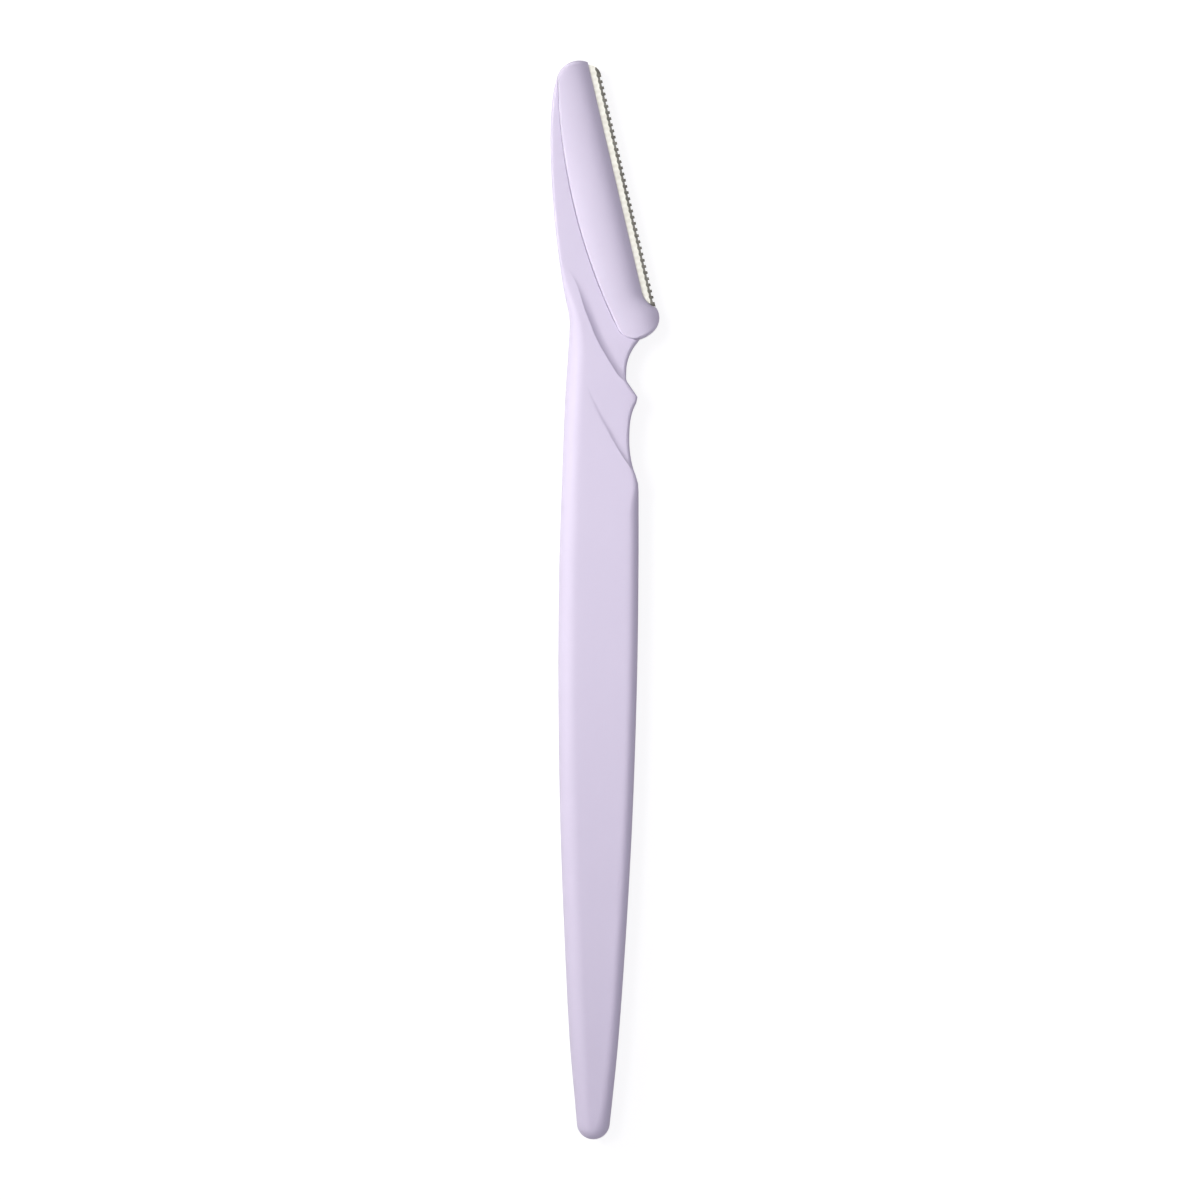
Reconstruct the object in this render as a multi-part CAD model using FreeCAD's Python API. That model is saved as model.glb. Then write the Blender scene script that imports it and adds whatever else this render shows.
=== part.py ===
import FreeCAD, Part
import math
import os

from FreeCAD import Vector

# Grip: lengths in millimetres, along Y from the neck, across X from the grip's axis
grip_length = 111.5
grip_width = 11.0
grip_thickness = 5.3
grip_edge_radius = 2.4
grip_right_radius = 1.8
butt_corner_radius = 2.1
butt_edge_radius = 1.95
left_edge_shares = [(-0.3735, 0.0143), (-0.433, -0.077), (-0.472, -0.177), (-0.505, -0.277),
                    (-0.519, -0.427), (-0.495, -0.601), (-0.437, -0.757), (-0.372, -0.882),
                    (-0.280, -1.0)]
right_edge_shares = [(0.123, -1.0), (0.235, -0.882), (0.328, -0.757), (0.417, -0.601),
                     (0.476, -0.427), (0.495, -0.277), (0.493, -0.185)]
waist_taper_share = -0.27
butt_taper_share = -0.86
notch_taper_share = -0.36
fillet_limit_share = 0.95

# Finger notches on the blade side
notch_edge_radius = 0.5
notch_setback = 0.6
grip_corner_radius = 1.6
tip_radius = 0.6
inner_corner_radius = 0.7
lower_notch_shares = [(0.377, -0.126), (0.500, -0.078)]
inner_corner_share = (0.292, -0.0493)
upper_notch_shares = [(0.341, -0.0462), (0.380, -0.0237), (0.511, -0.0025)]
notch_foot_share = -0.072

# Creases swept across both faces
head_step = 0.45
ramp_start = 0.5
ramp_run = 7.0
head_cove_radius = 2.36
head_crease_shares = [(-0.564, 0.0789), (-0.4439, 0.057), (-0.3122, 0.033), (-0.2120, 0.0157),
                      (-0.1151, -0.0075), (0.0002, -0.0268), (0.1087, -0.0437), (0.2100, -0.0562),
                      (0.2950, -0.0633), (0.4178, -0.0734), (0.55, -0.0842)]
petal_depth = 0.3
petal_run = 10.4
petal_cove_radius = 1.6
petal_crease_shares = [(-0.302, -0.067), (0.008, -0.1186), (0.545, -0.200)]
step_overlap = 0.02

# Head: along Y from the neck
head_length = 38.5
head_width = 10.9
head_notch_radius = 0.45
head_cover_lap = 2.0
spine_edge_radius = 1.2
spine_taper_share = 0.55
spine_shares = [(-0.450, 0.966), (-0.528, 0.947), (-0.587, 0.878), (-0.624, 0.732), (-0.590, 0.481),
                (-0.523, 0.300), (-0.449, 0.163)]
floor_top_shares = [(0.37, 0.10), (0.18, 0.272)]
floor_root_shares = [(-0.364, 0.0843), (-0.291, 0.0502), (-0.136, 0.0179), (0.064, -0.0224), (0.273, -0.0565)]
tang_thickness = 1.6
tang_start = 3.2
tang_end_gap = 3.4
tang_slip = 0.05

# Blade: its lean in degrees, and where its slit crosses the neck, out from the upper notch
blade_lean = 13.26
blade_offset = 1.81
blade_thickness = 0.2
blade_width = 4.3
blade_exposure = 1.1
blade_bevel = 0.6
blade_start = 2.9
blade_end_gap = 0.9
blade_slip = 0.05
blade_seat_gap = 0.1

# Guard: foil folded over the cutting edge and slotted as a comb
guard_foil = 0.1
guard_slip = 0.02
guard_flange = 0.9
guard_fold_gap = 0.13
guard_pitch = 0.88
guard_slot_width = 0.5
guard_slot_depth = 0.56
guard_rim = 0.15
guard_end_gap = 0.4
guard_corner_drop = 1.75
guard_corner_share = (0.56, 0.27)

# Covers: the crown runs along the blade, set in from the slit
cover_drop = 0.05
cover_crown = 4.2
cover_slit_height = 0.75
cover_left_radius = 7.5
cover_edge_radius = 0.2
cover_margin = 0.3
bulb_crown = 3.24
bulb_reach = 1.6
bulb_height = 3.96
bulb_edge_height = 0.5
bulb_rise = 3.5
window_radius = 2.68
seam_gap = 0.06
seam_shares = [(-0.345, 0.495), (0.232, 0.0289)]
bulb_shares = [(0.218, 0.195), (0.893, 1.0)]
top_share = (-0.394, 0.987)
slit_end_share = 0.9958
crown_columns = 12
crown_rows = 44

# Pins under the front cover, and their sockets in the rear one
blade_pin_diameter = 1.2
blade_pin_inset = 1.9
blade_pin_shares = [0.26, 0.79]
tang_pin_diameter = 1.4
tang_pin_inset = 5.0
tang_pin_shares = [0.34, 0.74]
pin_slip = 0.1
pin_grip = 0.9
pin_floor = 0.1

overrun = 2.0
touch = 0.001

up = Vector(0, 0, 1)
across = Vector(1, 0, 0)
centre = Vector(0, 0, 0)
lean = math.radians(blade_lean)
face_height = grip_thickness / 2
head_height = face_height - head_step
tang_half = tang_thickness / 2
blade_half = blade_thickness / 2
neck_across = upper_notch_shares[-1][0] * grip_width
slit_end = slit_end_share * head_length / math.cos(lean)
tang_end = slit_end - tang_end_gap
document = FreeCAD.newDocument("razor")


def on_grip(shares):
    return [Vector(across * grip_width, along * grip_length, 0) for across, along in shares]


def on_head(shares):
    return [Vector(across * head_width, along * head_length, 0) for across, along in shares]


def by_blade(out, along, height=0):
    across = neck_across + blade_offset + out * math.cos(lean) - along * math.sin(lean)
    return Vector(across, out * math.sin(lean) + along * math.cos(lean), height)


def curve(points):
    line = Part.BSplineCurve()
    line.interpolate(points)
    return line


def cut_at(line, levels):
    stops = [line.FirstParameter]
    rising = line.value(line.LastParameter).y > line.value(line.FirstParameter).y
    for level in levels:
        low, high = stops[-1], line.LastParameter
        for _ in range(40):
            middle = (low + high) / 2
            if (line.value(middle).y < level) == rising:
                low = middle
            else:
                high = middle
        stops.append(low)
    stops.append(line.LastParameter)
    return [line.toShape(first, last) for first, last in zip(stops, stops[1:])]


def arc(first, middle, last):
    return Part.Arc(first, middle, last).toShape()


def arc_on(before, end, axis):
    start = before.valueAt(before.LastParameter)
    inward = axis.cross(before.tangentAt(before.LastParameter))
    chord = end - start
    radius = chord.dot(chord) / (2 * chord.dot(inward))
    middle = start + inward * radius
    outward = (start - middle) + (end - middle)
    return arc(start, middle + outward * abs(radius / outward.Length), end)


def chain(points):
    return [Part.makeLine(first, last) for first, last in zip(points, points[1:])]


def prism(edges, low, high):
    face = Part.Face(Part.Wire(edges))
    face.translate(up * low)
    return face.extrude(up * (high - low))


def bar(out_low, out_high, along_low, along_high, half):
    corners = [by_blade(out_low, along_low), by_blade(out_high, along_low),
               by_blade(out_high, along_high), by_blade(out_low, along_high)]
    return prism(chain(corners + corners[:1]), -half, half)


def post(place, diameter, low, high):
    return Part.makeCylinder(diameter / 2, high - low, Vector(place.x, place.y, low))


def middle_of(edge):
    return edge.valueAt((edge.FirstParameter + edge.LastParameter) / 2)


def lies_on(guide):
    return lambda point: guide.distToShape(Part.Vertex(point.x, point.y, 0))[0] < touch


def both_faces(tool):
    return [tool, tool.mirror(centre, up)]


def upright_rounded(solid, place, radius):
    edges = []
    for edge in solid.Edges:
        start, end = edge.Vertexes[0].Point, edge.Vertexes[-1].Point
        if abs(start.z - end.z) > touch and place.distanceToPoint(Vector(start.x, start.y, 0)) < touch:
            edges.append(edge)
    return solid.makeFillet(radius, edges)


def rim_rounded(solid, wanted, radius_at):
    base = document.addObject("Part::Feature", "base")
    base.Shape = solid
    rounded = document.addObject("Part::Fillet", "rounded")
    rounded.Base = base
    chosen = []
    for number, edge in enumerate(solid.Edges, start=1):
        middle = middle_of(edge)
        if abs(middle.z) > touch and wanted(middle):
            start, end = edge.valueAt(edge.FirstParameter), edge.valueAt(edge.LastParameter)
            chosen.append((number, radius_at(start), radius_at(end)))
    rounded.Edges = sorted(chosen, key=lambda item: item[1] == item[2])
    document.recompute()
    return rounded.Shape


def crease_tool(shares, radius):
    points = on_grip(shares)
    wall = curve(points).toShape()
    beyond = [Vector(grip_width, points[-1].y, 0), Vector(grip_width, points[0].y, 0)]
    tool = prism([wall] + chain(points[-1:] + beyond + points[:1]), 0, radius + overrun)
    feet = [edge for edge in tool.Edges if wall.distToShape(Part.Vertex(middle_of(edge)))[0] < touch]
    return tool.makeFillet(radius, feet)


# Side view: flat along the grip, with a soft ramp down to the head
ramp_top = Vector(0, ramp_start, face_height)
ramp_foot = Vector(0, ramp_start + ramp_run, head_height)
ramp_middle = (ramp_top + ramp_foot) * 0.5
far_ends = [Vector(0, -grip_length - overrun, face_height), Vector(0, head_length + overrun, head_height)]
upper_line = [Part.makeLine(far_ends[0], ramp_top)]
for point in (ramp_middle, ramp_foot):
    upper_line.append(arc_on(upper_line[-1], point, across))
upper_line.append(Part.makeLine(ramp_foot, far_ends[1]))
side_view = upper_line + [edge.mirror(centre, up) for edge in upper_line]
side_view += [Part.makeLine(point, Vector(0, point.y, -point.z)) for point in far_ends]
body = Part.Face(Part.Wire(Part.sortEdges(side_view)[0]))
body.translate(Vector(-grip_width, 0, 0))
body = body.extrude(Vector(2 * grip_width, 0, 0))

# Slab of the grip and the spine, rounded along both sides and round the butt
spine_points = on_head(spine_shares)
shoulder = spine_points[1]
left_points = spine_points + on_grip(left_edge_shares)
right_points = on_grip(right_edge_shares)
notch_low, notch_tip = on_grip(lower_notch_shares)
notch_inner, notch_bend, nick = on_grip(upper_notch_shares)
inner_corner = on_grip([inner_corner_share])[0]
spine_level = spine_taper_share * head_length
waist_level = waist_taper_share * grip_length
butt_level = butt_taper_share * grip_length
notch_level = notch_taper_share * grip_length
setback = Vector(-notch_setback, 0, 0)
under_cover = [nick + setback, by_blade(-head_cover_lap, bulb_height),
               by_blade(-head_cover_lap, tang_end), left_points[0]]
ramp_lines = [Part.makeLine(Vector(-grip_width, point.y, 0), Vector(grip_width, point.y, 0))
              for point in (ramp_top, ramp_middle, ramp_foot)]
unrounded = lies_on(Part.makeCompound(chain(under_cover) + ramp_lines))
grip_outline = cut_at(curve(left_points), [spine_level, waist_level, butt_level])
grip_outline += [Part.makeLine(left_points[-1], right_points[0])]
grip_outline += cut_at(curve(right_points), [butt_level, notch_level])
grip_outline += [arc(right_points[-1], notch_low, notch_tip), Part.makeLine(notch_tip, inner_corner),
                 arc(inner_corner, notch_bend + setback, under_cover[0])]
grip_outline += chain(under_cover)
grip = prism(grip_outline, -face_height - overrun, face_height + overrun).common(body)

butt_half = (right_points[0].x - left_points[-1].x) / 2
butt_radius = min(butt_corner_radius, fillet_limit_share * butt_half)
side_radius = min(grip_edge_radius, fillet_limit_share * face_height)
right_radius = min(grip_right_radius, fillet_limit_share * face_height)
end_radius = min(butt_edge_radius, side_radius, fillet_limit_share * butt_radius)
for place, radius in ((left_points[-1], butt_radius), (right_points[0], butt_radius),
                      (right_points[-1], grip_corner_radius), (notch_tip, tip_radius),
                      (inner_corner, inner_corner_radius)):
    grip = upright_rounded(grip, place, radius)


def grip_rim(point):
    if point.y < butt_level - touch:
        return end_radius
    if point.x > 0:
        return right_radius if point.y < notch_level + touch else min(notch_edge_radius, right_radius)
    if point.y > spine_level - touch:
        return spine_edge_radius
    return side_radius if point.y < ramp_start - touch else (side_radius + spine_edge_radius) / 2


slab = rim_rounded(grip, lambda point: not unrounded(point), grip_rim)

# Creases: a step down to the head, and a shallow petal below it
head_tool = crease_tool(head_crease_shares, head_cove_radius)
head_tool.translate(up * (head_height - step_overlap))
petal_tool = crease_tool(petal_crease_shares, petal_cove_radius)
petal_tool.translate(up * face_height)
petal_start = on_grip(petal_crease_shares)[0] + up * face_height
petal_tool.rotate(petal_start, across, math.degrees(math.atan(petal_depth / petal_run)))
grip = slab.cut(both_faces(head_tool) + both_faces(petal_tool))

# Floor between the step and the covers, rounded at the upper notch
upper_notch = arc(notch_inner, notch_bend, nick)
notch_foot = Vector(notch_inner.x, notch_foot_share * grip_length, 0)
floor_root = on_grip(floor_root_shares)
head_outline = chain(floor_root + [notch_foot, notch_inner]) + [upper_notch]
head_outline += chain([nick] + on_head(floor_top_shares) + floor_root[:1])
head = prism(head_outline, -head_height, head_height)
head = rim_rounded(head, lies_on(upper_notch), lambda point: head_notch_radius)

# Outline of the covers: seam, bulb below the blade, window, slit and round top
def window_rise(out):
    return math.sqrt(window_radius ** 2 - (window_radius - out) ** 2)


seam_middle, seam_low = on_head(seam_shares)
bulb_places = [(out * bulb_reach, along * bulb_height) for out, along in bulb_shares]
bulb_low, bulb_top = [by_blade(out, along) for out, along in bulb_places]
window_foot, window_base = bulb_places[1]
window_height = window_base + window_rise(window_foot)
window_turn = math.acos(1 - window_foot / window_radius) / 2
window_bend = by_blade(window_radius * (1 - math.cos(window_turn)),
                       window_height - window_radius * math.sin(window_turn))
slit_low, slit_top = by_blade(0, window_height), by_blade(0, slit_end)
window_arc = arc(bulb_top, window_bend, slit_low)
cover_outline = [arc(shoulder, seam_middle, seam_low)]
for place in (nick, bulb_low, bulb_top):
    cover_outline.append(arc_on(cover_outline[-1], place, up))
cover_outline += [window_arc, Part.makeLine(slit_low, slit_top),
                  arc(slit_top, on_head([top_share])[0], shoulder)]

# Handle: grip and head cut back to the seam, with the tang that the covers clamp
blade_back = blade_exposure - blade_width
tang_front = blade_back - blade_seat_gap
tang = slab.common(bar(-head_width, tang_front, tang_start, tang_end, tang_half))
cover_room = prism(cover_outline, -face_height - overrun, face_height + overrun)
handle = grip.fuse(head).cut(cover_room).fuse(tang)
tang_pins = [by_blade(-tang_pin_inset, tang_start + share * (tang_end - tang_start))
             for share in tang_pin_shares]
tang_holes = [post(place, tang_pin_diameter + pin_slip, -tang_half, tang_half) for place in tang_pins]
handle = handle.cut(tang_holes).removeSplitter()

# Guard: foil folded round the edge, trimmed to the window and to the round top
fold_inner = blade_half + guard_slip
fold_outer = fold_inner + guard_foil
fold_centre = blade_exposure + guard_fold_gap - fold_inner
guard_reach = fold_centre + fold_outer
guard_end = slit_end - guard_end_gap
guard_corner = guard_end - guard_corner_drop


def folded(radius):
    flat = bar(-guard_flange, fold_centre, 0, slit_end, radius)
    start = by_blade(fold_centre, 0)
    return flat.fuse(Part.makeCylinder(radius, slit_end, start, by_blade(fold_centre, slit_end) - start))


def trim(edge, points):
    ends = [edge.valueAt(edge.LastParameter), edge.valueAt(edge.FirstParameter)]
    return prism([edge] + chain(ends[:1] + points + ends[1:]), -face_height, face_height)


top_arc = arc(by_blade(guard_reach, guard_corner),
              by_blade(guard_corner_share[0] * guard_reach,
                       guard_end - guard_corner_share[1] * guard_corner_drop),
              by_blade(-guard_flange, guard_end))
top_trim = trim(top_arc, [by_blade(-guard_flange, slit_end + overrun),
                          by_blade(guard_reach + overrun, slit_end + overrun),
                          by_blade(guard_reach + overrun, guard_corner)])
foot_trim = trim(window_arc, [by_blade(-guard_flange - overrun, window_height),
                              by_blade(-guard_flange - overrun, -overrun),
                              by_blade(bulb_reach + overrun, -overrun),
                              by_blade(bulb_reach + overrun, bulb_height)])
foot_trim.translate(by_blade(guard_slip, guard_slip) - by_blade(0, 0))

slot_half = guard_slot_width / 2
slot_floor = guard_reach - guard_slot_depth
slot_root = slot_floor + slot_half
slot_low = window_height - window_rise(slot_floor) + guard_rim
slot_high = guard_corner - guard_rim
slot_count = int((slot_high - slot_low - guard_slot_width) / guard_pitch) + 1
slot_first = (slot_low + slot_high - (slot_count - 1) * guard_pitch) / 2
slots = []
for number in range(slot_count):
    along = slot_first + number * guard_pitch
    slot = bar(slot_root, guard_reach + overrun, along - slot_half, along + slot_half, face_height)
    slots.append(slot.fuse(post(by_blade(slot_root, along), guard_slot_width, -face_height, face_height)))
guard = folded(fold_outer).cut([folded(fold_inner), top_trim, foot_trim] + slots)

# Blade: a strip ground on both sides, with a hole for each pin
blade_end = slit_end - blade_end_gap
blade_ground = blade_exposure - blade_bevel
section = [by_blade(blade_back, blade_start, -blade_half), by_blade(blade_ground, blade_start, -blade_half),
           by_blade(blade_exposure, blade_start), by_blade(blade_ground, blade_start, blade_half),
           by_blade(blade_back, blade_start, blade_half)]
blade_run = by_blade(0, blade_end) - by_blade(0, blade_start)
blade_pins = [by_blade(-blade_pin_inset, blade_start + share * (blade_end - blade_start))
              for share in blade_pin_shares]
blade_holes = [post(place, blade_pin_diameter + pin_slip, -blade_half, blade_half) for place in blade_pins]
blade_trim = top_trim.copy()
blade_trim.translate(by_blade(0, -guard_slip) - by_blade(0, 0))
blade = Part.Face(Part.Wire(chain(section + section[:1]))).extrude(blade_run)
blade = blade.cut(blade_holes + [blade_trim])

# Covers: a crown fuller over the bulb, cut to the outline and rounded at its rim
cover_height = face_height - cover_drop


def bend_radius(across, drop):
    return (across ** 2 + drop ** 2) / (2 * drop)


slit_radius = bend_radius(cover_crown, cover_height - cover_slit_height)
bulb_radius = bend_radius(bulb_crown + bulb_reach, cover_height - bulb_edge_height)


def crown_row(along):
    rise = min(max((window_height - along) / bulb_rise, 0), 1)
    rise = rise ** 2 * (3 - 2 * rise)
    crown = cover_crown + (bulb_crown - cover_crown) * rise
    right_radius = slit_radius + (bulb_radius - slit_radius) * rise
    reach = bulb_reach * rise + cover_margin
    row = []
    for step in range(crown_columns + 1):
        out = (head_width + reach) * step / crown_columns - head_width
        drop = (out + crown) ** 2 / (2 * cover_left_radius)
        if out > -crown:
            drop = right_radius - math.sqrt(right_radius ** 2 - (out + crown) ** 2)
        row.append(by_blade(out, along, cover_height - drop))
    return row


crown_start = -bulb_reach
crown_run = slit_end + bulb_reach - crown_start
crown_face = Part.BSplineSurface()
crown_face.interpolate([crown_row(crown_start + crown_run * step / crown_rows)
                        for step in range(crown_rows + 1)])
plan = Part.Face(Part.Wire(cover_outline)).makeOffset2D(-seam_gap)
shell = crown_face.toShape().extrude(-up * grip_thickness).common(plan.extrude(up * grip_thickness))
for face in shell.Faces:
    if face.Surface.TypeId == crown_face.TypeId:
        rim = face.Edges
shell = shell.makeFillet(cover_edge_radius, rim)
tang_room = bar(-head_width, tang_front + tang_slip, tang_start - tang_slip, tang_end + tang_slip, tang_half)
blade_room = bar(blade_back - blade_slip, blade_exposure + blade_slip, blade_start - blade_slip,
                 blade_end + blade_slip, blade_half)
guard_room = bar(-guard_flange - blade_slip, bulb_reach, window_height - blade_slip,
                 guard_end + blade_slip, fold_outer)
front_cover = shell.cut([tang_room, blade_room, guard_room])
rear_cover = front_cover.mirror(centre, up)
for places, diameter, seat in ((blade_pins, blade_pin_diameter, blade_half),
                               (tang_pins, tang_pin_diameter, tang_half)):
    pin_end = -seat - pin_grip
    front_cover = front_cover.fuse([post(place, diameter, pin_end, seat + pin_floor) for place in places])
    rear_cover = rear_cover.cut([post(place, diameter + pin_slip, pin_end - pin_floor, 0)
                                 for place in places])
front_cover = front_cover.removeSplitter()

# The razor lies on its back, centred over the origin
pieces = {"handle": handle, "front_blade_cover": front_cover, "rear_blade_cover": rear_cover,
          "blade": blade, "skin_guard": guard}
room = Part.makeCompound(list(pieces.values())).optimalBoundingBox(False, False)
os.makedirs("parts", exist_ok=True)
for name, piece in pieces.items():
    piece.translate(Vector(-room.Center.x, -room.Center.y, face_height))
    piece.exportStep("parts/" + name + ".step")
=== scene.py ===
import bpy
import bmesh
import math
import numpy as np
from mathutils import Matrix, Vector


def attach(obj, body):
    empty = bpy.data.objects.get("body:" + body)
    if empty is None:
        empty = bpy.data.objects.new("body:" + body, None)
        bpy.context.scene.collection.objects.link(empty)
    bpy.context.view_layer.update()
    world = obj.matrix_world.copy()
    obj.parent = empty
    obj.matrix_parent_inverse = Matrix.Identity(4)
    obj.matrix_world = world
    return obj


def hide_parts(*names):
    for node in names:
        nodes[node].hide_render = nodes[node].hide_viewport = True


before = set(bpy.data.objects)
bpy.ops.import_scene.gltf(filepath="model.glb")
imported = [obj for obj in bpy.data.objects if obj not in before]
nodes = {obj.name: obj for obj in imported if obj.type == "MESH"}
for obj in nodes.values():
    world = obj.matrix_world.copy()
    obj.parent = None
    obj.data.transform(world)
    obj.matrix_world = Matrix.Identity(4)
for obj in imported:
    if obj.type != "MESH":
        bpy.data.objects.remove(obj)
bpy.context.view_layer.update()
mm = 0.001
neck = np.array((-0.787, 36.55, 2.65))    # middle of the neck in the frame, mm
print("stage: frame loaded,", len(nodes), "nodes")


# plan lines, in mm from the middle of the neck

lineStep, fineStep, rowStep = 0.1, 0.05, 0.02    # mm between the points of a line
curvePoints, arcPoints, bendPoints, rowPoints = 24, 90, 13, 241
blockSize, leastRun = 1500, 1e-6    # points measured at once, and the shortest run
rimShare, rimBias = 0.45, 0.7    # most of a row that a rim takes, and how its points gather


def evenly(line, gap):
    line = np.array(line, float)
    run = np.concatenate([[0], np.cumsum(np.linalg.norm(np.diff(line, axis=0), axis=1))])
    stops = np.linspace(0, run[-1], max(2, int(round(run[-1] / gap)) + 1))
    return np.stack([np.interp(stops, run, line[:, k]) for k in (0, 1)], axis=1)


def flowLine(points, gap=fineStep):    # smooth line through the points
    p = np.array(points, float)
    p = np.vstack([2 * p[0] - p[1], p, 2 * p[-1] - p[-2]])
    t = np.linspace(0, 1, curvePoints, endpoint=False)[:, None]
    bits = []
    for a, b, c, d in zip(p, p[1:], p[2:], p[3:]):
        ab, bc, cd = [max(np.linalg.norm(v), leastRun) ** 0.5 for v in (b - a, c - b, d - c)]
        m1 = (c - b) + bc * ((b - a) / ab - (c - a) / (ab + bc))
        m2 = (c - b) + bc * ((d - c) / cd - (d - b) / (bc + cd))
        square, cube = 3 * (c - b) - 2 * m1 - m2, 2 * (b - c) + m1 + m2
        bits.append(b + m1 * t + square * t ** 2 + cube * t ** 3)
    return evenly(np.vstack(bits + [p[-2:-1]]), gap)


def arcLine(a, b, c):    # round line through three points
    a, b, c = (np.array(v, float) for v in (a, b, c))
    m = 2 * np.array((b - a, c - b))
    middle = np.linalg.solve(m, np.array((b @ b - a @ a, c @ c - b @ b)))
    turn = [math.atan2(*(v - middle)[::-1]) for v in (a, b, c)]
    along = (turn[1] - turn[0]) % math.tau < (turn[2] - turn[0]) % math.tau
    sweep = (turn[2] - turn[0]) % math.tau if along else -((turn[0] - turn[2]) % math.tau)
    angles = turn[0] + np.linspace(0, sweep, arcPoints)
    size = np.linalg.norm(a - middle)
    return evenly(middle + size * np.stack([np.cos(angles), np.sin(angles)], axis=1), fineStep)


def arcOn(before, end):    # round line that carries on from another
    start, end = before[-1], np.array(end, float)
    heading = (before[-1] - before[-2]) / np.linalg.norm(before[-1] - before[-2])
    inward = np.array((-heading[1], heading[0]))
    chord = end - start
    size = chord @ chord / (2 * chord @ inward)
    middle = start + inward * size
    outward = (start - middle) + (end - middle)
    return arcLine(start, middle + outward / np.linalg.norm(outward) * abs(size), end)


def inset(line, gap):    # moved to the left of its run
    run = np.gradient(line, axis=0)
    across = np.stack([-run[:, 1], run[:, 0]], axis=1)
    return line + gap * across / np.linalg.norm(run, axis=1)[:, None]


def softCorner(first, second, cut):    # two lines joined by a round of about this size
    steps = int(cut / np.linalg.norm(first[-1] - first[-2]))
    other = int(cut / np.linalg.norm(second[1] - second[0]))
    a, b, c = first[-1 - steps], first[-1], second[other]
    t = np.linspace(0, 1, bendPoints)[1:-1, None]
    bend = a * (1 - t) ** 2 + 2 * b * t * (1 - t) + c * t ** 2
    return np.vstack([first[:-1 - steps], a[None], bend, second[other:]])


def farFrom(points, line):    # distance to a line, place along it, and the side
    points = np.atleast_2d(points)
    a, b = line[:-1], line[1:]
    run = b - a
    size = np.maximum((run ** 2).sum(1), leastRun ** 2)
    best, place, side = [], [], []
    for block in np.array_split(points, max(1, len(points) // blockSize)):
        off = block[:, None] - a[None]
        t = np.clip((off * run).sum(2) / size, 0, 1)
        gap = np.linalg.norm(off - t[..., None] * run, axis=2)
        near = gap.argmin(1)
        rows = np.arange(len(block))
        best.append(gap[rows, near])
        place.append(near + t[rows, near])
        side.append(np.sign(run[near, 1] * off[rows, near, 0] - run[near, 0] * off[rows, near, 1]))
    return np.concatenate(best), np.concatenate(place), np.concatenate(side)


def easing(value, start, run):    # 0 to 1 over the run, soft at both ends
    t = np.clip((value - start) / run, 0, 1)
    return t * t * (3 - 2 * t)


def rounded(level, far, radius):    # height of a rounded rim at this distance from the outline
    inside = np.clip(radius - far, 0, radius)
    return level - radius + np.sqrt(radius ** 2 - inside ** 2)


def pointAt(line, place):
    k = np.clip(place, 0, len(line) - 1)
    return np.stack([np.interp(k, np.arange(len(line)), line[:, n]) for n in (0, 1)], axis=-1)


def atHeight(line, y):    # the point of a line nearest to this height of the plan
    return line[np.abs(line[:, 1] - y).argmin()]


def rowLines(left, right, keyRows, shares):    # rows at these shares of the way between key lines
    keys = []
    for row in keyRows:
        lo, hi = farFrom(row[0], left)[1][0], farFrom(row[-1], right)[1][0]
        keys.append((lo, hi, evenly(row, rowStep)))
    u = np.linspace(0, 1, rowPoints)
    rows = []
    for (la, ra, a), (lb, rb, b), stops in zip(keys, keys[1:], shares):
        a, b = (pointAt(k, u * (len(k) - 1)) for k in (a, b))
        for t in stops:
            line = a * (1 - t) + b * t
            ends = pointAt(left, la * (1 - t) + lb * t), pointAt(right, ra * (1 - t) + rb * t)
            line += (ends[0] - line[0]) * (1 - u)[:, None] + (ends[1] - line[-1]) * u[:, None]
            rows.append(line)
    return rows


def rimStops(far, run, radius, count):    # places along a row, closer where its rim turns
    turns = 1 - np.cos(np.linspace(0, math.pi / 2, count))
    most = rimShare * run[-1] * np.linspace(0, 1, count) ** rimBias
    return np.minimum(np.interp(turns * radius, far, run), most)


def columnsOn(line, left, right, leftRound, rightRound, counts):
    run = np.concatenate([[0], np.cumsum(np.linalg.norm(np.diff(line, axis=0), axis=1))])
    fromLeft = np.maximum.accumulate(farFrom(line, left)[0])
    fromRight = np.maximum.accumulate(farFrom(line[::-1], right)[0])
    a = rimStops(fromLeft, run, leftRound, counts[0])
    b = rimStops(fromRight, run, rightRound, counts[2])
    middle = np.linspace(a[-1], run[-1] - b[-1], counts[1] + 2)[1:-1]
    stops = np.concatenate([a, middle, run[-1] - b[::-1]])
    return np.stack([np.interp(stops, run, line[:, k]) for k in (0, 1)], axis=1)


# tools of the modelling table

weldGap, mirrorGap = 0.002 * mm, 0.004 * mm
softAngle = math.radians(40)


def startFresh():
    if bpy.context.mode != "OBJECT":
        bpy.ops.object.mode_set(mode="OBJECT")
    bpy.ops.object.select_all(action="DESELECT")


def pick(obj):
    startFresh()
    obj.select_set(True)
    bpy.context.view_layer.objects.active = obj


def pickEdges(obj, wanted):    # edit mode, with only the edges that pass the test
    bpy.ops.mesh.select_mode(type="EDGE")
    bpy.ops.mesh.select_all(action="DESELECT")
    table = bmesh.from_edit_mesh(obj.data)
    for edge in table.edges:
        edge.select_set(wanted(edge))
    table.select_flush_mode()
    bmesh.update_edit_mesh(obj.data)


def sheetFrom(name, plan, heights):    # a grid primitive with each point set to its place
    rows, columns = plan.shape[:2]
    startFresh()
    bpy.ops.mesh.primitive_grid_add(x_subdivisions=columns - 1, y_subdivisions=rows - 1, size=2)
    sheet = bpy.context.object
    sheet.name = name
    place = np.zeros((rows * columns, 3))
    place[:, :2] = plan.reshape(-1, 2)
    place[:, 2] = heights.reshape(-1)
    sheet.data.vertices.foreach_set("co", (place * mm).ravel())
    sheet.data.update()
    return sheet


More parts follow.
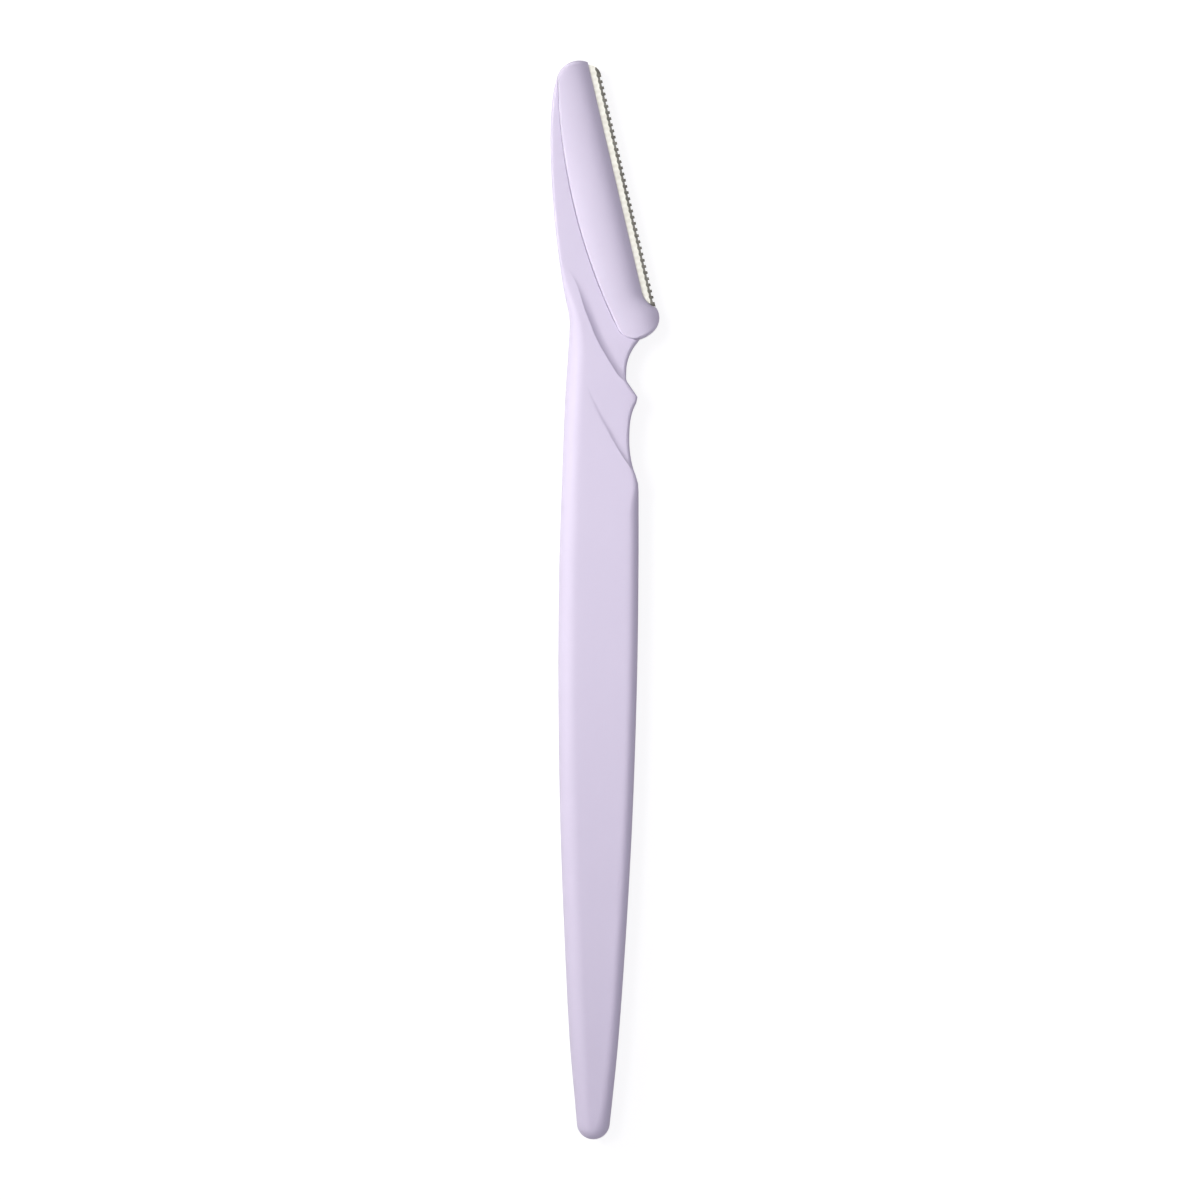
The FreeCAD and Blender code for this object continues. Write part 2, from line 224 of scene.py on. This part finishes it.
def skirtDown(sheet, floor):    # the rim goes straight down to this height
    pick(sheet)
    bpy.ops.object.mode_set(mode="EDIT")
    pickEdges(sheet, lambda edge: edge.is_boundary)
    bpy.ops.mesh.extrude_region_move()
    bpy.ops.transform.resize(value=(1, 1, 0), center_override=(0, 0, floor * mm))
    bpy.ops.object.mode_set(mode="OBJECT")


def applied(obj, kind, **settings):
    pick(obj)
    tool = obj.modifiers.new(kind.title(), kind)
    for key, value in settings.items():
        setattr(tool, key, value)
    bpy.ops.object.modifier_apply(modifier=tool.name)


def settle(obj):    # outward faces, soft shading, and the place in the mesh
    pick(obj)
    bpy.ops.object.mode_set(mode="EDIT")
    bpy.ops.mesh.select_all(action="SELECT")
    bpy.ops.mesh.remove_doubles(threshold=weldGap)
    bpy.ops.mesh.normals_make_consistent(inside=False)
    bpy.ops.transform.translate(value=Vector(neck * mm))
    bpy.ops.object.mode_set(mode="OBJECT")
    bpy.ops.object.shade_smooth_by_angle(angle=softAngle)


# handle: grip, finger notches, creases and spine

handle = {
    "left": [(-3.13, -109.3), (-3.46, -105.5), (-4.092, -98.34), (-4.807, -84.41), (-5.445, -67.01),
             (-5.709, -47.61), (-5.555, -30.89), (-5.192, -19.74), (-4.763, -8.59), (-4.24, -0.6),
             (-4.115, 1.7), (-4.26, 3.2), (-4.894, 6.28), (-5.70, 11.55), (-6.431, 18.52),
             (-6.79, 28.18), (-6.398, 33.80), (-5.755, 36.46)],
    "right": [(1.45, -109.3), (1.86, -105.5), (2.585, -98.34), (3.608, -84.41), (4.587, -67.01),
              (5.236, -47.61), (5.445, -30.89), (5.44, -20.2)],
    "lowNotch": [(5.44, -20.2), (4.72, -18.4), (4.28, -16.3), (4.15, -14.05), (4.32, -11.6),
                 (4.72, -10.0), (5.42, -8.55)],
    "tipSide": [(5.42, -8.55), (3.72, -6.1)],
    "highNotch": [(3.72, -6.1), (3.72, -5.2), (3.80, -4.0), (4.07, -2.85), (4.62, -1.65), (5.621, -0.279)],
    "lowCut": 1.1, "tipCut": 0.45, "highCut": 0.35,
    "buttFoot": (-0.86, -111.5),
    "seam": [(-5.755, 36.46), (-3.76, 19.06), (2.529, 1.113)], "nick": (5.621, -0.279),
    "crease": [(-5.73, 11.9), (-4.3, 9.35), (-3.05, 7.0), (-2.17, 4.1), (-1.37, 2.05), (-0.36, -0.43),
               (0.81, -2.55), (1.97, -4.45), (2.95, -5.85), (3.72, -6.1)],
    "creaseEnd": [(-6.2, 16.0), (-4.3, 12.2), (-2.6, 9.3), (-1.37, 6.2), (-0.06, 2.7), (0.9, 0.3),
                  (2.01, -1.75), (3.1, -3.5), (3.78, -4.1)],
    "petal": [(-4.115, 1.8), (-2.95, -3.2), (-1.35, -7.9), (0.02, -10.9), (1.17, -13.0), (2.30, -15.2),
              (3.50, -17.1), (4.40, -18.3), (4.72, -18.4)],
    "petalEnd": [(-4.2, 2.6), (-2.2, -2.6), (-0.55, -7.5), (0.95, -10.4), (2.05, -12.5), (3.1, -14.5),
                 (3.8, -15.6), (4.2, -15.8)],
    "level": 2.65, "headLevel": 2.08, "rampFrom": 2.6, "rampTo": 9.2,
    "sideRound": 2.4, "rightRound": 1.45, "buttRound": 1.95, "spineRound": 0.45, "notchRound": 0.5,
    "seamRound": 0.14,
    "leftButt": (-108, 12), "spineRun": (-4, 15), "rightButt": (-111, 6), "notchRun": (-25, 6.5),
    "coveRound": 1.45, "petalRound": 1.0, "petalDrop": 0.038, "petalTop": -7.5,
    "rowHeights": (-104, -40), "columns": (10, 16, 9),
}


def handleLines():
    h = handle
    left, right = flowLine(h["left"], lineStep), flowLine(h["right"], lineStep)
    foot = arcLine(left[0], h["buttFoot"], right[0])
    quarter = len(foot) // 4
    left = np.vstack([foot[:quarter + 1][::-1], left[1:]])
    right = np.vstack([foot[-quarter - 1:], right[1:]])
    right = softCorner(right, flowLine(h["lowNotch"]), h["lowCut"])
    right = softCorner(right, evenly(h["tipSide"], fineStep), h["tipCut"])
    right = softCorner(right, flowLine(h["highNotch"]), h["highCut"])
    seam = arcLine(*h["seam"])
    seam = np.vstack([seam[:-1], arcOn(seam, h["nick"])])
    return left, right, foot[quarter:-quarter], seam


leftSide, rightSide, buttLine, seamLine = handleLines()


def coveRise(far, depth, radius):    # how high a hollow stands above its floor
    run = np.sqrt(np.maximum(2 * radius * depth - depth ** 2, 0))
    return radius - np.sqrt(radius ** 2 - np.clip(run - far, 0, None) ** 2)


def rimRounds(leftAt, rightAt):    # size of the rounded rims at these heights of the plan
    h = handle
    left = h["buttRound"] + (h["sideRound"] - h["buttRound"]) * easing(leftAt, *h["leftButt"])
    left += (h["spineRound"] - h["sideRound"]) * easing(leftAt, *h["spineRun"])
    right = h["buttRound"] + (h["rightRound"] - h["buttRound"]) * easing(rightAt, *h["rightButt"])
    right += (h["notchRound"] - h["rightRound"]) * easing(rightAt, *h["notchRun"])
    return left, right


def faceLevel(y):    # height of the flat face, down a soft ramp to the head
    h = handle
    down = easing(y, h["rampFrom"], h["rampTo"] - h["rampFrom"])
    return h["level"] - (h["level"] - h["headLevel"]) * down


def handleHeights(plan):
    h = handle
    p = plan.reshape(-1, 2)
    crease, petal = flowLine(h["crease"]), flowLine(h["petal"])
    face = faceLevel(p[:, 1])
    far, place, side = farFrom(p, petal)
    drop = h["petalDrop"] * np.clip(h["petalTop"] - p[:, 1], 0, None)
    depth = h["petalDrop"] * np.clip(h["petalTop"] - pointAt(petal, place)[:, 1], 0, None)
    hollow = np.minimum(face, face - drop + coveRise(far, depth, h["petalRound"]))
    face = np.where(side < 0, hollow, face)
    far, place, side = farFrom(p, crease)
    depth = faceLevel(pointAt(crease, place)[:, 1]) - h["headLevel"]
    hollow = np.minimum(face, h["headLevel"] + coveRise(far, depth, h["coveRound"]))
    face = np.where(side < 0, hollow, face)
    leftFar, leftPlace, _ = farFrom(p, leftSide)
    rightFar, rightPlace, _ = farFrom(p, rightSide)
    leftAt, rightAt = pointAt(leftSide, leftPlace)[:, 1], pointAt(rightSide, rightPlace)[:, 1]
    leftRound, rightRound = rimRounds(leftAt, rightAt)
    z = np.minimum(rounded(face, leftFar, leftRound), rounded(face, rightFar, rightRound))
    for line, radius in ((buttLine, h["buttRound"]), (seamLine, h["seamRound"])):
        z = np.minimum(z, rounded(face, farFrom(p, line)[0], np.full(len(p), radius)))
    return z.reshape(plan.shape[:2])


def makeHandle():
    h = handle
    straight = [np.array([atHeight(leftSide, y), atHeight(rightSide, y)]) for y in h["rowHeights"]]
    swept = [flowLine(h[name]) for name in ("petal", "petalEnd", "crease", "creaseEnd")]
    keys = [buttLine, *straight, *swept, seamLine]
    fine = np.array([0, 0.03, 0.07, 0.13, 0.2, 0.28, 0.37, 0.47, 0.58, 0.7, 0.82, 0.92])
    stops = [np.array([0, 0.012, 0.035, 0.07, 0.12, 0.18, 0.25, 0.34, 0.45, 0.58, 0.72, 0.86]),
             np.linspace(0, 1, 33)[:-1], np.linspace(0, 1, 27)[:-1], fine,
             np.append(np.linspace(0, 0.96, 18), 0.985), fine,
             np.concatenate([np.linspace(0, 0.9, 20), [0.94, 0.965, 0.98, 0.988, 0.994, 1]])]
    plan = []
    for line in rowLines(leftSide, rightSide, keys, stops):
        rounds = rimRounds(line[0][1], line[-1][1])
        plan.append(columnsOn(line, leftSide, rightSide, *rounds, h["columns"]))
    plan = np.array(plan)
    grip = sheetFrom("razor_handle", plan, handleHeights(plan))
    skirtDown(grip, 0)
    applied(grip, "MIRROR", use_axis=(False, False, True), use_clip=True, merge_threshold=mirrorGap)
    settle(grip)
    return grip


razorHandle = makeHandle()
print("stage: handle,", len(razorHandle.data.polygons), "faces")


# blade covers: a crown along the blade, full over the bulb

cover = {
    "bulbLow": (7.593, 0.832), "bulbTop": (7.913, 4.182), "windowBend": (6.671, 4.902),
    "slitLow": (5.979, 6.161), "slitTop": (-1.6004, 38.3185), "topBend": (-4.295, 37.98),
    "lean": 13.26, "slitAt": 7.431, "seamGap": 0.045, "windowCut": 0.12,
    "rim": 0.22, "topRim": 0.8, "bulbRim": 0.35, "rimRun": (4, 2),
    "leastHeight": 0.3, "sideShare": 0.7, "topShare": 0.8,    # a rim's most, as a share of the height
    "height": 2.60, "base": 0.01, "crown": 4.2, "bulbCrown": 3.24,
    "leftRadius": 7.5, "slitRadius": 4.85, "bulbRadius": 5.55, "fullness": 2.5,
    "window": 6.3, "bulbRise": 3.5,
    "rowHeights": (3.4, 8.2), "columns": (6, 24, 7),
}


def coverLines():
    c = cover
    k = int(farFrom(np.array(handle["seam"][-1:]), seamLine)[1][0])
    under = arcOn(seamLine, c["bulbLow"])
    bulb = arcOn(under, c["bulbTop"])
    window = arcLine(c["bulbTop"], c["windowBend"], c["slitLow"])
    slit = evenly([c["slitLow"], c["slitTop"]], fineStep)
    top = arcLine(c["slitTop"], c["topBend"], handle["seam"][0])[::-1]
    lines = (seamLine, under, bulb, window, slit)
    seam, under, bulb, window, slit = (inset(line, c["seamGap"]) for line in lines)
    top = inset(top, -c["seamGap"])
    top[0], top[-1] = seam[0], slit[-1]
    right = np.vstack([under[:-1], bulb])
    right = softCorner(right, np.vstack([window[:-1], slit]), c["windowCut"])
    return seam[:k + 1][::-1], right, seam[k:], top


coverLeft, coverRight, coverFoot, coverTop = coverLines()


def coverHeights(plan):
    c = cover
    p = plan.reshape(-1, 2)
    lean = math.radians(c["lean"])
    off = p - (c["slitAt"], 0)
    out = off[:, 0] * math.cos(lean) + off[:, 1] * math.sin(lean)
    along = off[:, 1] * math.cos(lean) - off[:, 0] * math.sin(lean)
    rise = easing(-along, -c["window"], c["bulbRise"])
    crown = c["crown"] + (c["bulbCrown"] - c["crown"]) * rise
    radius = c["slitRadius"] + (c["bulbRadius"] - c["slitRadius"]) * rise
    over = out + crown
    full = c["fullness"]
    turn = 1 - np.maximum(1 - np.clip(over / radius, 0, 1) ** full, 0) ** (1 / full)
    z = c["height"] - np.where(over > 0, radius * turn, over ** 2 / (2 * c["leftRadius"]))
    rim = np.full(len(p), c["rim"])
    for line in (coverLeft, coverFoot):
        z = np.minimum(z, rounded(z, farFrom(p, line)[0], rim))
    far, place, _ = farFrom(p, coverRight)
    rim = c["bulbRim"] + (c["rim"] - c["bulbRim"]) * easing(pointAt(coverRight, place)[:, 1], *c["rimRun"])
    z = np.minimum(z, rounded(z, far, np.minimum(rim, c["sideShare"] * np.maximum(z, c["leastHeight"]))))
    rim = np.minimum(c["topRim"], c["topShare"] * np.maximum(z, c["leastHeight"]))
    z = np.minimum(z, rounded(z, farFrom(p, coverTop)[0], rim))
    return z.reshape(plan.shape[:2])


def makeCover():
    c = cover
    low, high = (atHeight(coverLeft, y) for y in c["rowHeights"])
    nose = coverRight[coverRight[:, 0].argmax()]
    keys = [coverFoot, np.array([low, nose]), np.array([high, c["slitLow"]]), coverTop]
    stops = [np.concatenate([[0, 0.02, 0.05, 0.09, 0.14], np.linspace(0.2, 1, 12)[:-1]]),
             np.linspace(0, 1, 17)[:-1],
             np.concatenate([np.linspace(0, 0.965, 44), [0.975, 0.983, 0.99, 0.995, 0.998, 1]])]
    plan = []
    for line in rowLines(coverLeft, coverRight, keys, stops):
        plan.append(columnsOn(line, coverLeft, coverRight, c["rim"], c["bulbRim"], c["columns"]))
    plan = np.array(plan)
    shell = sheetFrom("front_cover", plan, coverHeights(plan))
    skirtDown(shell, c["base"])
    bpy.ops.object.mode_set(mode="EDIT")
    bpy.ops.mesh.edge_face_add()
    bpy.ops.mesh.select_all(action="SELECT")
    bpy.ops.mesh.remove_doubles(threshold=weldGap)
    bpy.ops.mesh.normals_make_consistent(inside=False)
    bpy.ops.object.mode_set(mode="OBJECT")
    return shell


frontCover = makeCover()
pick(frontCover)
bpy.ops.object.duplicate()
rearCover = bpy.context.object
rearCover.name = "rear_cover"
bpy.ops.object.mode_set(mode="EDIT")
bpy.ops.mesh.select_all(action="SELECT")
bpy.ops.transform.resize(value=(1, 1, -1), center_override=(0, 0, 0))
bpy.ops.object.mode_set(mode="OBJECT")
settle(frontCover)
settle(rearCover)
print("stage: covers,", len(frontCover.data.polygons), "faces each")


# finishes

def paint(name):
    material = bpy.data.materials.new(name)
    material.use_nodes = True
    tree = material.node_tree
    return material, tree, tree.nodes["Principled BSDF"]


def put(tree, kind, settings=(), values=(), links=()):    # one node with its settings, values and links
    node = tree.nodes.new(kind)
    for key, value in dict(settings).items():
        setattr(node, key, value)
    for key, value in dict(values).items():
        node.inputs[key].default_value = value
    for key, source in dict(links).items():
        tree.links.new(source, node.inputs[key])
    return node


def noise(tree, place, scale, detail, roughness):
    values = {"Scale": scale, "Detail": detail, "Roughness": roughness}
    return put(tree, "ShaderNodeTexNoise", {}, values, {"Vector": place}).outputs[0]


def reckon(tree, operation, *terms):    # one step of arithmetic, on numbers and sockets
    node = put(tree, "ShaderNodeMath", {"operation": operation})
    for k, term in enumerate(terms):
        if isinstance(term, (int, float)):
            node.inputs[k].default_value = term
        else:
            tree.links.new(term, node.inputs[k])
    return node.outputs[0]


def ranged(tree, source, start, end=(0, 1), kind="LINEAR"):    # a value taken from one range to another
    values = {"From Min": start[0], "From Max": start[1], "To Min": end[0], "To Max": end[1]}
    node = put(tree, "ShaderNodeMapRange", {"interpolation_type": kind}, values, {"Value": source})
    return node.outputs[0]


def colourMix(tree, factor, low, high):    # each colour is a value or a socket
    mix = put(tree, "ShaderNodeMix", {"data_type": "RGBA"}, {}, {"Factor": factor})
    for key, colour in (("A", low), ("B", high)):
        if isinstance(colour, tuple):
            mix.inputs[key].default_value = (*colour, 1)
        else:
            tree.links.new(colour, mix.inputs[key])
    return mix.outputs["Result"]


def newGroup(name, outputs):
    group = bpy.data.node_groups.new(name, "ShaderNodeTree")
    for output in outputs:
        group.interface.new_socket(name=output, in_out="OUTPUT", socket_type="NodeSocketFloat")
    return group, group.nodes.new("NodeGroupOutput")


def sendOut(group, end, **sources):
    for name, source in sources.items():
        group.links.new(source, end.inputs[name])
    return group


# each noise as scale, detail and roughness
mould = {"grain": (5200, 2, 0.55), "swell": (420, 1, 0.5), "drift": (70, 3, 0.5),
         "swellShare": 0.35, "edge": (0.52, 0.60), "patch": (0.38, 0.62)}


def mouldGroup():    # fine grain of the mould, slow drift of tone, and rubbed edges
    group, end = newGroup("mouldGrain", ("Height", "Drift", "Rub"))
    place = put(group, "ShaderNodeTexCoord").outputs["Object"]
    grain, swell, drift = (noise(group, place, *mould[name]) for name in ("grain", "swell", "drift"))
    height = put(group, "ShaderNodeMix", {}, {"Factor": mould["swellShare"]}, {"A": grain, "B": swell})
    edge = ranged(group, put(group, "ShaderNodeNewGeometry").outputs["Pointiness"], mould["edge"])
    rub = reckon(group, "MULTIPLY", edge, ranged(group, swell, mould["patch"]))
    return sendOut(group, end, Height=height.outputs["Result"], Drift=drift, Rub=rub)


brushed = {"brush": (14, 3, 0.6), "drift": (900, 2, 0.5), "stretch": 0.12}


def bladeGroup():    # place across and along the blade in mm from the slit, and brushed lines along it
    group, end = newGroup("bladeLines", ("Across", "Along", "Brush", "Drift"))
    lean = math.radians(cover["lean"])
    slit = (cover["slitAt"] + neck[0], neck[1])
    place = put(group, "ShaderNodeTexCoord").outputs["Object"]
    ways = []
    for way in ((math.cos(lean), math.sin(lean)), (-math.sin(lean), math.cos(lean))):
        dot = put(group, "ShaderNodeVectorMath", {"operation": "DOT_PRODUCT"},
                  {1: (way[0] / mm, way[1] / mm, 0)}, {0: place})
        ways.append(reckon(group, "SUBTRACT", dot.outputs["Value"], way[0] * slit[0] + way[1] * slit[1]))
    across, along = ways
    slow = reckon(group, "MULTIPLY", along, brushed["stretch"])
    flow = put(group, "ShaderNodeCombineXYZ", {}, {}, {"X": across, "Y": slow}).outputs[0]
    brush, drift = noise(group, flow, *brushed["brush"]), noise(group, place, *brushed["drift"])
    return sendOut(group, end, Across=across, Along=along, Brush=brush, Drift=drift)


mouldGrain, bladeLines = mouldGroup(), bladeGroup()
grainSpan = (0.3, 0.7)    # most of what a noise gives


def coat(tree, skin, look, colour, height):    # colour, roughness and bump to the shader
    values = {"Strength": look["bump"], "Distance": look["depth"]}
    bump = put(tree, "ShaderNodeBump", {}, values, {"Height": height})
    tree.links.new(colour, skin.inputs["Base Color"])
    tree.links.new(ranged(tree, height, grainSpan, look["rough"]), skin.inputs["Roughness"])
    tree.links.new(bump.outputs[0], skin.inputs["Normal"])


def plastic(name, look):
    material, tree, skin = paint(name)
    grain = put(tree, "ShaderNodeGroup", {"node_tree": mouldGrain}).outputs
    tone = colourMix(tree, grain["Drift"], look["deep"], look["pale"])
    colour = colourMix(tree, reckon(tree, "MULTIPLY", grain["Rub"], look["rub"]), tone, look["worn"])
    skin.inputs["Specular IOR Level"].default_value = look["shine"]
    coat(tree, skin, look, colour, grain["Height"])
    return material


def steel(name, look):    # a pale strip and a dark band at its outer edge; on the guard the band is painted shade of the comb's teeth and slots, on the blade it is the ground bevel darkened with painted shade
    material, tree, skin = paint(name)
    lines = put(tree, "ShaderNodeGroup", {"node_tree": bladeLines}).outputs
    # a wave at the tooth pitch paints light and shade ticks along the strip and scallops the edge of the
    # dark band
    wave = reckon(tree, "SINE", reckon(tree, "MULTIPLY", lines["Along"], math.tau / look["pitch"]))
    reach = reckon(tree, "MULTIPLY_ADD", wave, look["ripple"], lines["Across"])
    band = ranged(tree, reach, look["band"], kind="SMOOTHSTEP")
    # painted light and shade of the teeth at their pitch, on a random drift of tone
    toothShadeAndTone = reckon(tree, "ADD", reckon(tree, "MULTIPLY", wave, look["pitchShade"]), lines["Drift"])
    strip = colourMix(tree, toothShadeAndTone, look["deep"], look["pale"])
    # the dark band's colour is painted shade: of the comb's teeth and slots on the guard, deepening the
    # ground bevel on the blade
    shadedEdgeBand = colourMix(tree, toothShadeAndTone, look["edge"], look["edgeShadePale"])
    skin.inputs["Metallic"].default_value = 1
    coat(tree, skin, look, colourMix(tree, band, strip, shadedEdgeBand), lines["Brush"])
    return material


def dress(obj, material):
    obj.data.materials.clear()
    obj.data.materials.append(material)


finish = {
    "handle": {"deep": (0.672, 0.615, 0.757), "pale": (0.700, 0.643, 0.781), "worn": (0.78, 0.74, 0.86),
               "rub": 0.25, "rough": (0.48, 0.60), "bump": 0.10, "depth": 0.00002, "shine": 0.4},
    "cover": {"deep": (0.694, 0.637, 0.775), "pale": (0.722, 0.665, 0.799), "worn": (0.79, 0.75, 0.87),
              "rub": 0.25, "rough": (0.46, 0.58), "bump": 0.08, "depth": 0.00002, "shine": 0.4},
    # the guard's dark band and its ticks at the tooth pitch are painted shade and light of the comb's
    # teeth and slots
    "guard": {"deep": (0.74, 0.715, 0.64), "pale": (0.95, 0.935, 0.875),
              "edge": (0.055, 0.05, 0.042), "edgeShadePale": (0.24, 0.23, 0.205),
              "band": (0.73, 0.84), "pitch": 0.88, "ripple": 0.06, "pitchShade": 0.18,
              "rough": (0.30, 0.46), "bump": 0.25, "depth": 0.00001},
    # the blade's dark band is its ground bevel, darkened further with painted shade
    "blade": {"deep": (0.60, 0.59, 0.56), "pale": (0.70, 0.69, 0.66),
              "edge": (0.20, 0.19, 0.17), "edgeShadePale": (0.30, 0.29, 0.27),
              "band": (0.42, 0.56), "pitch": 0.88, "ripple": 0.0, "pitchShade": 0.0,
              "rough": (0.28, 0.42), "bump": 0.25, "depth": 0.00001},
}

handlePlastic = plastic("lavenderPlastic", finish["handle"])
coverPlastic = plastic("coverPlastic", finish["cover"])
dress(razorHandle, handlePlastic)
dress(frontCover, coverPlastic)
dress(rearCover, coverPlastic)
dress(nodes["blade"], steel("bladeSteel", finish["blade"]))
dress(nodes["skin_guard"], steel("guardSteel", finish["guard"]))

for piece, node, slotName in ((razorHandle, "handle", "lavender_plastic"),
                              (frontCover, "front_blade_cover", "cover_plastic"),
                              (rearCover, "rear_blade_cover", "cover_plastic")):
    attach(piece, "root")
    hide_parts(node)
print("stage: finishes")


# floor, lamps and camera

studio = {
    "floorSize": 6, "floorTone": (0.3, 0.3, 0.3, 1), "floorGlow": 0.84,
    "fill": 0.45, "fillTint": (0.965, 0.935, 1.07), "shine": 0.85, "shineTint": (1.0, 1.0, 1.0),
    "keyPlace": (-0.23, 0.11, 0.17), "keyAim": (0, 0.006, 0), "keySize": 0.10,
    "keyLevel": 0.86, "keySpread": 75, "keyTint": (1.0, 0.985, 0.95),
    "topPlace": (-0.40, 0.22, 0.86), "topAim": (0, 0.043, 0), "topSize": 0.30,
    "topLevel": 0.59, "topSpread": 21, "topTint": (1.0, 1.0, 1.0),
    "lens": 150, "sensor": 36, "frameWidth": 0.16693, "lookAt": (-0.0007, 0, 0.00265),
}

startFresh()
bpy.ops.mesh.primitive_plane_add(size=studio["floorSize"])
floor = bpy.context.object
floor.name = "floor"
floorPaint, tree, skin = paint("floorPaint")
tree.nodes.remove(skin)
rays = put(tree, "ShaderNodeLightPath").outputs
seen = reckon(tree, "MAXIMUM", rays["Is Camera Ray"], rays["Is Glossy Ray"])
strength = reckon(tree, "MULTIPLY", seen, studio["floorGlow"])
matt = put(tree, "ShaderNodeBsdfDiffuse", {}, {"Color": studio["floorTone"]})
glow = put(tree, "ShaderNodeEmission", {}, {}, {"Strength": strength})
both = put(tree, "ShaderNodeAddShader", {}, {}, {0: matt.outputs[0], 1: glow.outputs[0]})
tree.links.new(both.outputs[0], tree.nodes["Material Output"].inputs["Surface"])
dress(floor, floorPaint)

world = bpy.data.worlds.new("studioFill")
bpy.context.scene.world = world
world.use_nodes = True
air = world.node_tree
sky = air.nodes["Background"]
glossy = put(air, "ShaderNodeLightPath").outputs["Is Glossy Ray"]
skyLevel = put(air, "ShaderNodeMix", {}, {"A": studio["fill"], "B": studio["shine"]}, {"Factor": glossy})
air.links.new(skyLevel.outputs["Result"], sky.inputs["Strength"])
air.links.new(colourMix(air, glossy, studio["fillTint"], studio["shineTint"]), sky.inputs["Color"])

for lamp in ("key", "top"):
    place, aim = Vector(studio[lamp + "Place"]), Vector(studio[lamp + "Aim"])
    bpy.ops.object.light_add(type="AREA", location=place)
    light = bpy.context.object
    light.name = lamp + "Lamp"
    light.data.size = studio[lamp + "Size"]
    light.data.color = studio[lamp + "Tint"]
    half = math.radians(studio[lamp + "Spread"]) / 2
    light.data.spread = 2 * half
    focus = math.tan(half) / (math.tan(half) - half)    # a narrow lamp is brighter along its axis
    light.data.energy = studio[lamp + "Level"] * math.pi ** 2 * (place - aim).length_squared / focus
    light.rotation_euler = (aim - place).to_track_quat("-Z", "Y").to_euler()

lookX, lookY, lookZ = studio["lookAt"]
away = studio["frameWidth"] * studio["lens"] / studio["sensor"]
bpy.ops.object.camera_add(location=(lookX, lookY, lookZ + away))
camera = bpy.context.object
camera.data.lens = studio["lens"]
camera.data.sensor_width = studio["sensor"]
bpy.context.scene.camera = camera
bpy.context.scene.view_settings.view_transform = "Standard"

print("stage: studio ready")
